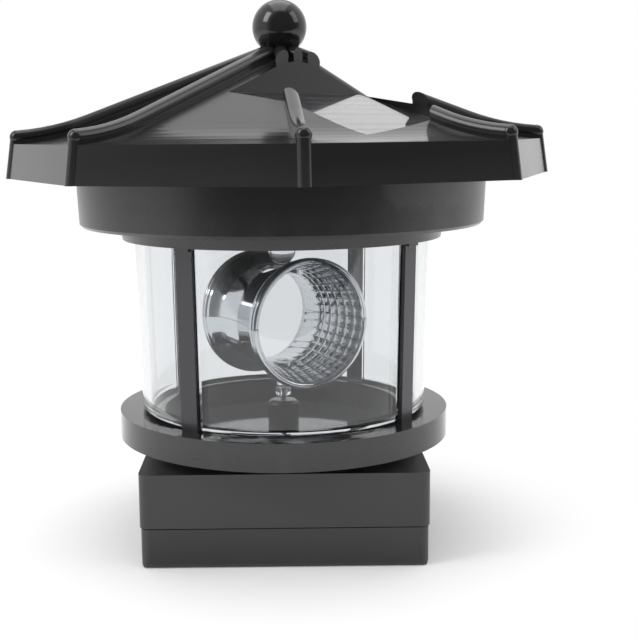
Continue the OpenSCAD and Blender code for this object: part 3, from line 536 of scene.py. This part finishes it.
class BEACON_OT_panel(bpy.types.Operator):
    """Dress the solar panel's board, cells and clear face"""

    bl_idname = "beacon.panel"
    bl_label = "Solar panel"

    def execute(self, context):
        finish = context.scene.beacon_finish
        low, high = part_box("solar_cells")
        pitch = (high - low).length / COLLECTOR_LINES
        dress("panel_board", black_plastic("panel_board_black", finish, roughness=0.4, ripple=0.2, dust=0.5))
        dress("solar_cells", cell_finish("cell_silicon", finish.cell, PANEL_ACROSS, pitch))
        resin = clear_plastic(
            "panel_resin_clear",
            (0.9, 0.91, 0.93),
            roughness=0.05,
            ior=RESIN_IOR,
            scratch=0.02,
            ripple_depth=0.0,
        )
        dress("panel_resin", resin)
        return {"FINISHED"}


class BEACON_OT_head(bpy.types.Operator):
    """Dress the drum and the lip ring under the roof"""

    bl_idname = "beacon.head"
    bl_label = "Head"

    def execute(self, context):
        finish = context.scene.beacon_finish
        satin = black_plastic("drum_black", finish, roughness=0.26, ripple=0.3, dust=0.7)
        dress("collar_drum", satin)
        dress("lantern_ring", satin)
        return {"FINISHED"}


class BEACON_OT_lamp(bpy.types.Operator):
    """Dress the lamp, its lead frame and its board"""

    bl_idname = "beacon.lamp"
    bl_label = "Lamp"

    def execute(self, context):
        finish = context.scene.beacon_finish
        epoxy = clear_plastic("lamp_epoxy", (0.96, 0.97, 0.99), roughness=0.01, ior=RESIN_IOR, scratch=0.02)
        dress("beacon_led", epoxy)
        dress("led_frame", plated_metal("lead_frame_plate", finish.steel, roughness=0.25))
        dress("led_board", plain_moulding("board_mask", BOARD_GREEN, roughness=0.35))
        dress("board_parts_head", plain_moulding("chip_black", CHIP_BLACK, roughness=0.5))
        return {"FINISHED"}


class BEACON_OT_lantern(bpy.types.Operator):
    """Dress the clear cylinder and the four posts"""

    bl_idname = "beacon.lantern"
    bl_label = "Lantern"

    def execute(self, context):
        finish = context.scene.beacon_finish
        dress("clear_cylinder", clear_plastic("lantern_clear", finish.clear))
        for name in ("post_front_left", "post_front_right", "post_rear_right", "post_rear_left"):
            # Painted shade: the posts get the moulded black darkened to 0.3 of itself.
            dress(
                name,
                black_plastic("post_black", finish, roughness=0.3, ripple=0.2, dust=0.1, gloss=0.1, tone=0.3),
            )
        return {"FINISHED"}


class BEACON_OT_mirror(bpy.types.Operator):
    """Build the turning mirror barrel with its faceted cups, and its clear hub"""

    bl_idname = "beacon.mirror"
    bl_label = "Mirror barrel"

    def execute(self, context):
        sizes, finish = context.scene.beacon_mirror, context.scene.beacon_finish
        middle = BARREL_BOX[1][2] - sizes.rim
        aim = Vector((math.sin(sizes.bearing), -math.cos(sizes.bearing), 0.0))
        side = Vector((0.0, 0.0, 1.0)).cross(aim)
        place = Matrix.Translation((0.0, 0.0, middle)) @ Matrix(
            ((side.x, 0.0, aim.x), (side.y, 0.0, aim.y), (0.0, 1.0, 0.0))
        ).to_4x4()

        def radius(s):
            return sizes.throat + sizes.flare * s**FLARE_POWER

        def wall(start, end, steps):
            """The barrel's outside, at one thickness over the cup and no wider than behind its lips."""
            rows = [(radius(i / steps), start + (end - start) * i / steps) for i in range(steps + 1)]
            return [(min(r + sizes.shell, radius(1.0) + sizes.shell), z) for r, z in rows]

        def cup(start, end, rings):
            """Rows from the throat to the mouth: radius, place along the barrel, share across the facet."""
            rows = [(radius(0.0), start, 0.0)]
            for ring in range(rings):
                low, high = radius(ring / rings), radius((ring + 1) / rings)
                for cut in FACET_CUTS[1:] + (1.0,):
                    along = start + (end - start) * (ring + cut) / rings
                    rows.append((low + (high - low) * cut, along, cut % 1.0))
            return rows

        def lips(end):
            """Rounded double lip from the cup's mouth round to its outside."""
            way = 1.0 if end > 0 else -1.0
            bead = LIP * 0.5
            steps = []
            for z0 in (0.0, LIP_PITCH * LIP):
                for k in range(LIP_STEPS + 1):
                    a = math.pi * k / LIP_STEPS
                    along = end - way * (z0 + LIP * (1.0 - math.cos(a)))
                    steps.append((sizes.rim - bead + bead * math.sin(a), along))
                steps.append((sizes.rim - LIP, end - way * (z0 + LIP_VALLEY * LIP)))
            return [(radius(1.0) + MOUTH_STEP, end)] + steps

        front = cup(sizes.throat_front, sizes.half - MOUTH_EDGE, sizes.rings)
        rear = cup(sizes.throat_rear, MOUTH_EDGE - sizes.half, REAR_RINGS)
        facets = list(reversed(rear)) + front
        outside_front = wall(sizes.throat_front, sizes.half - WALL_END, FRONT_WALL_STEPS)
        outside_rear = wall(sizes.throat_rear, WALL_END - sizes.half, REAR_WALL_STEPS)
        outline = (
            [(r, z) for r, z, _ in facets]
            + lips(sizes.half)
            + list(reversed(outside_front))
            + outside_rear
            + list(reversed(lips(-sizes.half)))
        )
        throat_rows = (len(rear) - 1, len(rear))
        per = len(FACET_CUTS)
        count = sizes.columns * per
        step = 2.0 * math.pi / sizes.columns

        def angle(column):
            return step * (column // per + FACET_CUTS[column % per])

        def swell(cut):
            return 1.0 - (2.0 * cut - 1.0) ** 2

        def facet(row, column):
            """Flat chords between sunk grooves, each face swollen a little toward the barrel's middle."""
            if row >= len(facets) or row in throat_rows:
                return 0.0
            across, along = FACET_CUTS[column % per], facets[row][2]
            chord = facets[row][0] * (math.cos(step / 2.0) / math.cos(step * (across - 0.5)) - 1.0)
            if across == 0.0 or along == 0.0:
                return chord + sizes.groove
            return chord - sizes.pillow * swell(across) * swell(along)

        verts, faces = lathe(outline, count, place, angle, facet)
        outer = mirror_finish("barrel_mirror", finish.mirror, roughness=0.1, seam_height=middle)
        # Painted shade: the facets inside the cups take the barrel's mirror tint darkened to 0.86.
        painted_shade_mirror = [FACET_PAINTED_SHADE * c for c in finish.mirror]
        inner = mirror_finish("facet_mirror", painted_shade_mirror, roughness=0.13, seam_height=0.0)
        barrel = piece_from("mirror_barrel", verts, faces, True, outer)
        barrel.data.materials.append(inner)
        for row in range(len(facets) - 1):
            if row != throat_rows[0]:
                for column in range(count):
                    barrel.data.polygons[row * count + column].material_index = 1
        self.bore(barrel, sizes, middle)
        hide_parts("reflector")
        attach(barrel, "rotor")

        hub = self.hub(sizes, middle)
        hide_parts("reflector")
        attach(hub, "rotor")
        dress("reflector", outer)
        return {"FINISHED"}

    def hub(self, sizes, middle):
        """The clear knob on the shaft, and the waisted stem from it up into the barrel."""
        top = middle - math.sqrt((sizes.throat + sizes.shell) ** 2 - sizes.hub_top**2) + HUB_BITE
        foot = BARREL_BOX[0][2]
        knob_top = foot + KNOB_HEIGHT
        outline = [
            (HUB_BORE, foot + HUB_TIP),
            (sizes.knob - KNOB_EDGE, foot),
            (sizes.knob, foot + KNOB_EDGE),
            (sizes.knob, knob_top - KNOB_EDGE),
            (sizes.knob - KNOB_EDGE, knob_top),
        ]
        for i in range(HUB_STEPS + 1):
            s = i / HUB_STEPS
            wider = (sizes.hub_top - sizes.knob + HUB_WAIST) * s**HUB_POWER
            outline.append((sizes.knob - HUB_WAIST + wider, knob_top + (top - knob_top) * s))
        outline += [(HUB_TIP, top), (HUB_TIP, knob_top), (HUB_BORE, knob_top - HUB_TIP)]
        verts, faces = lathe(outline, HUB_SIDES, Matrix.Identity(4))
        clear = clear_plastic("hub_clear", (0.97, 0.98, 0.99), roughness=0.01)
        return piece_from("mirror_hub", verts, faces, True, clear)

    def bore(self, barrel, sizes, middle):
        """Cuts the round hole under the lamp through the top of the barrel."""
        drill = bmesh.new()
        hole = sizes.lamp_hole
        bmesh.ops.create_cone(
            drill, cap_ends=True, segments=HOLE_SIDES, radius1=hole, radius2=hole, depth=sizes.rim
        )
        bmesh.ops.translate(drill, verts=drill.verts, vec=(0.0, 0.0, middle + sizes.rim))
        mesh = bpy.data.meshes.new("lamp_drill")
        drill.to_mesh(mesh)
        drill.free()
        tool = bpy.data.objects.new("lamp_drill", mesh)
        bpy.context.scene.collection.objects.link(tool)
        cut = barrel.modifiers.new("lamp hole", "BOOLEAN")
        cut.operation = "DIFFERENCE"
        cut.object = tool
        cut.solver = "EXACT"
        bpy.context.view_layer.update()
        done = bpy.data.meshes.new_from_object(barrel.evaluated_get(bpy.context.evaluated_depsgraph_get()))
        barrel.modifiers.clear()
        barrel.data = done
        bpy.data.objects.remove(tool)


class BEACON_OT_drive(bpy.types.Operator):
    """Dress the shaft, its bearing, the gears and the motor"""

    bl_idname = "beacon.drive"
    bl_label = "Drive"

    def execute(self, context):
        finish = context.scene.beacon_finish
        bright = plated_metal("shaft_steel", finish.steel, roughness=0.16)
        for name in ("output_shaft", "gear_pins"):
            dress(name, bright)
        dress("motor_can", plated_metal("motor_plate", (0.66, 0.66, 0.67), roughness=0.3))
        dress("motor_pinion", plated_metal("pinion_brass", (0.72, 0.52, 0.24), roughness=0.28))
        for name in ("output_gear", "second_gear", "first_gear"):
            dress(name, plain_moulding("gear_natural", (0.78, 0.77, 0.71), roughness=0.42))
        dress("gear_plate", plain_moulding("plate_natural", (0.7, 0.7, 0.66), roughness=0.5))
        dress("shaft_bush", black_plastic("bush_black", finish, roughness=0.14, ripple=0.1, dust=0.3))
        return {"FINISHED"}


class BEACON_OT_floor(bpy.types.Operator):
    """Dress the flange and the polished floor inside the lantern"""

    bl_idname = "beacon.floor"
    bl_label = "Lantern floor"

    def execute(self, context):
        finish = context.scene.beacon_finish
        dress("flange_housing", black_plastic("flange_black", finish, roughness=0.1, ripple=0.2, dust=0.45))
        # Painted reflection: the polished floor's black is lightened nine times, standing in for the white
        # surroundings it reflects.
        polished = black_plastic(
            "floor_black", finish, roughness=0.04, ripple=0.15, dust=0.3, gloss=1.0, tone=9.0
        )
        dress("floor_plate", polished)
        return {"FINISHED"}


class BEACON_OT_base(bpy.types.Operator):
    """Dress the base box and every screw"""

    bl_idname = "beacon.base"
    bl_label = "Base box"

    def execute(self, context):
        finish = context.scene.beacon_finish
        dress("base_shell", black_plastic("base_black", finish, roughness=0.3, ripple=0.35, dust=0.7))
        dress("base_cover", black_plastic("cover_black", finish, roughness=0.34, ripple=0.35, dust=0.7))
        for name in ("cover_screws", "neck_screws", "small_screws", "roof_screws"):
            dress(name, plated_metal("screw_steel", finish.steel, roughness=0.3))
        return {"FINISHED"}


class BEACON_OT_power(bpy.types.Operator):
    """Dress the cell, its contacts, the board, the switch and the leads"""

    bl_idname = "beacon.power"
    bl_label = "Power"

    def execute(self, context):
        finish = context.scene.beacon_finish
        dress("battery_cell", plain_moulding("cell_sleeve", (0.03, 0.2, 0.08), roughness=0.3))
        dress("battery_contacts", plated_metal("contact_plate", (0.72, 0.69, 0.6), roughness=0.25))
        dress("control_board", plain_moulding("board_mask", BOARD_GREEN, roughness=0.35))
        dress("board_parts_base", plain_moulding("chip_black", CHIP_BLACK, roughness=0.5))
        dress("switch_body", plated_metal("switch_plate", finish.steel, roughness=0.32))
        dress("switch_knob", plain_moulding("knob_white", (0.74, 0.74, 0.72), roughness=0.4))
        for name, tint in (("panel_leads", LEAD_RED), ("post_leads", LEAD_BLACK), ("motor_leads", LEAD_RED)):
            dress(name, plain_moulding(name + "_sleeve", tint, roughness=0.4))
        return {"FINISHED"}


class BEACON_OT_stage(bpy.types.Operator):
    """Set the white floor, the soft light and the camera"""

    bl_idname = "beacon.stage"
    bl_label = "Stage"

    def execute(self, context):
        scene, sizes = context.scene, context.scene.beacon_stage
        half = sizes.floor / 2.0
        near = -sizes.front_edge
        verts = [(-half, near, 0.0), (half, near, 0.0), (half, half, 0.0), (-half, half, 0.0)]
        floor = piece_from("floor", verts, [(0, 1, 2, 3)], False, self.paper(sizes))
        self.surroundings(scene, sizes)
        middle = (0.0, 0.0, 0.05)
        self.lamp("key_left", place=(-0.42, -0.2, 0.42), target=middle, size=0.36, power=1.3)
        self.lamp("fill_right", place=(0.45, -0.1, 0.38), target=middle, size=0.36, power=0.5)
        self.lamp("top", place=(0.0, 0.1, 0.6), target=(0.0, 0.0, 0.0), size=0.7, power=1.3)
        self.camera(scene, sizes)
        scene.view_settings.view_transform = "Standard"
        return {"FINISHED"}

    def paper(self, sizes):
        """White paper that shows the shadow near the object, and is plain white to the eye further out."""
        made, tree, shader = blank("paper_white")
        fibre_depth = 0.00002
        place = object_place(tree)
        fibre = noise(tree, place, scale=900.0, detail=4.0)
        tone = shade_of(sizes.paper, PAPER_TONE)
        fill(tree, shader, Base_Color=tone, Roughness=0.9, Specular_IOR_Level=0.1)
        bump(tree, shader, fibre, fibre_depth, strength=0.2)
        level = (1.0, 1.0, 0.0)
        flat = put(tree, "ShaderNodeVectorMath", operation="MULTIPLY", in_0=place, in_1=level).outputs[0]
        away = put(tree, "ShaderNodeVectorMath", operation="LENGTH", in_0=flat).outputs["Value"]
        fade = (sizes.clear_near, sizes.clear_far)
        out = remap(tree, away, fade, (0.0, 1.0), interpolation_type="SMOOTHSTEP")
        path = put(tree, "ShaderNodeLightPath")
        seen = math_node(tree, "MAXIMUM", path.outputs["Is Camera Ray"], path.outputs["Is Transmission Ray"])
        glow = put(tree, "ShaderNodeEmission", in_Color=rgba(sizes.paper), in_Strength=1.0)
        joined = put(tree, "ShaderNodeMixShader", in_0=times(tree, out, seen))
        tree.links.new(shader.outputs[0], joined.inputs[1])
        tree.links.new(glow.outputs[0], joined.inputs[2])
        tree.links.new(joined.outputs[0], tree.nodes["Material Output"].inputs[0])
        return made

    def surroundings(self, scene, sizes):
        """A white room, whose side behind the camera is dark in reflections only."""
        world = bpy.data.worlds.new("white_room")
        world.use_nodes = True
        tree = world.node_tree
        back = tree.nodes["Background"]
        back.inputs[0].default_value = rgba(sizes.paper)
        path = put(tree, "ShaderNodeLightPath")
        mirrored = path.outputs["Is Glossy Ray"]
        seen = math_node(tree, "MAXIMUM", path.outputs["Is Camera Ray"], mirrored)
        seen = math_node(tree, "MAXIMUM", seen, path.outputs["Is Transmission Ray"])
        strength = mix_values(tree, seen, sizes.world, 1.0)
        toward = dot(tree, put(tree, "ShaderNodeTexCoord").outputs["Generated"], DARK_WAY)
        dark = (DARK_START, DARK_FULL)
        shade = remap(tree, toward, dark, (1.0, sizes.hood), interpolation_type="SMOOTHSTEP")
        tree.links.new(times(tree, strength, mix_values(tree, mirrored, 1.0, shade)), back.inputs[1])
        scene.world = world

    def lamp(self, name, place, target, size, power):
        data = bpy.data.lights.new(name, "AREA")
        data.shape = "RECTANGLE"
        data.size, data.size_y = size * LAMP_SHAPE, size
        data.energy = power
        made = bpy.data.objects.new(name, data)
        made.location = place
        made.rotation_euler = (Vector(target) - Vector(place)).to_track_quat("-Z", "Y").to_euler()
        bpy.context.scene.collection.objects.link(made)

    def camera(self, scene, sizes):
        data = bpy.data.cameras.new("photo_camera")
        data.sensor_fit = "HORIZONTAL"
        data.sensor_width = SENSOR_WIDTH
        data.lens = sizes.lens
        data.shift_x = sizes.shift
        data.clip_start = 0.005
        eye = bpy.data.objects.new("photo_camera", data)
        aim = Matrix.Rotation(math.pi / 2.0 - sizes.pitch, 4, "X") @ Matrix.Rotation(sizes.roll, 4, "Z")
        eye.matrix_world = Matrix.Translation((0.0, -sizes.distance, sizes.height)) @ aim
        scene.collection.objects.link(eye)
        scene.camera = eye


class BEACON_PT_panel(bpy.types.Panel):
    """Sizes and finishes of the beacon head"""

    bl_idname = "BEACON_PT_panel"
    bl_label = "Beacon head"
    bl_space_type = "VIEW_3D"
    bl_region_type = "UI"
    bl_category = "Beacon"

    def draw(self, context):
        scene = context.scene
        for group in (scene.beacon_mirror, scene.beacon_finish, scene.beacon_stage):
            box = self.layout.box()
            for key in group.__annotations__:
                box.prop(group, key)
        for operator in OPERATORS:
            self.layout.operator(operator.bl_idname)


GROUPS = (BeaconMirror, BeaconFinish, BeaconStage)
OPERATORS = (
    BEACON_OT_roof,
    BEACON_OT_panel,
    BEACON_OT_head,
    BEACON_OT_lamp,
    BEACON_OT_lantern,
    BEACON_OT_mirror,
    BEACON_OT_drive,
    BEACON_OT_floor,
    BEACON_OT_base,
    BEACON_OT_power,
    BEACON_OT_stage,
)


def register():
    for kind in GROUPS + OPERATORS + (BEACON_PT_panel,):
        bpy.utils.register_class(kind)
    bpy.types.Scene.beacon_mirror = bpy.props.PointerProperty(type=BeaconMirror)
    bpy.types.Scene.beacon_finish = bpy.props.PointerProperty(type=BeaconFinish)
    bpy.types.Scene.beacon_stage = bpy.props.PointerProperty(type=BeaconStage)


def unregister():
    del bpy.types.Scene.beacon_mirror
    del bpy.types.Scene.beacon_finish
    del bpy.types.Scene.beacon_stage
    for kind in reversed(GROUPS + OPERATORS + (BEACON_PT_panel,)):
        bpy.utils.unregister_class(kind)


def main():
    register()
    bpy.ops.beacon.roof()
    bpy.ops.beacon.panel()
    bpy.ops.beacon.head()
    bpy.ops.beacon.lamp()
    bpy.ops.beacon.lantern()
    bpy.ops.beacon.mirror()
    bpy.ops.beacon.drive()
    bpy.ops.beacon.floor()
    bpy.ops.beacon.base()
    bpy.ops.beacon.power()
    bpy.ops.beacon.stage()


if __name__ == "__main__":
    main()
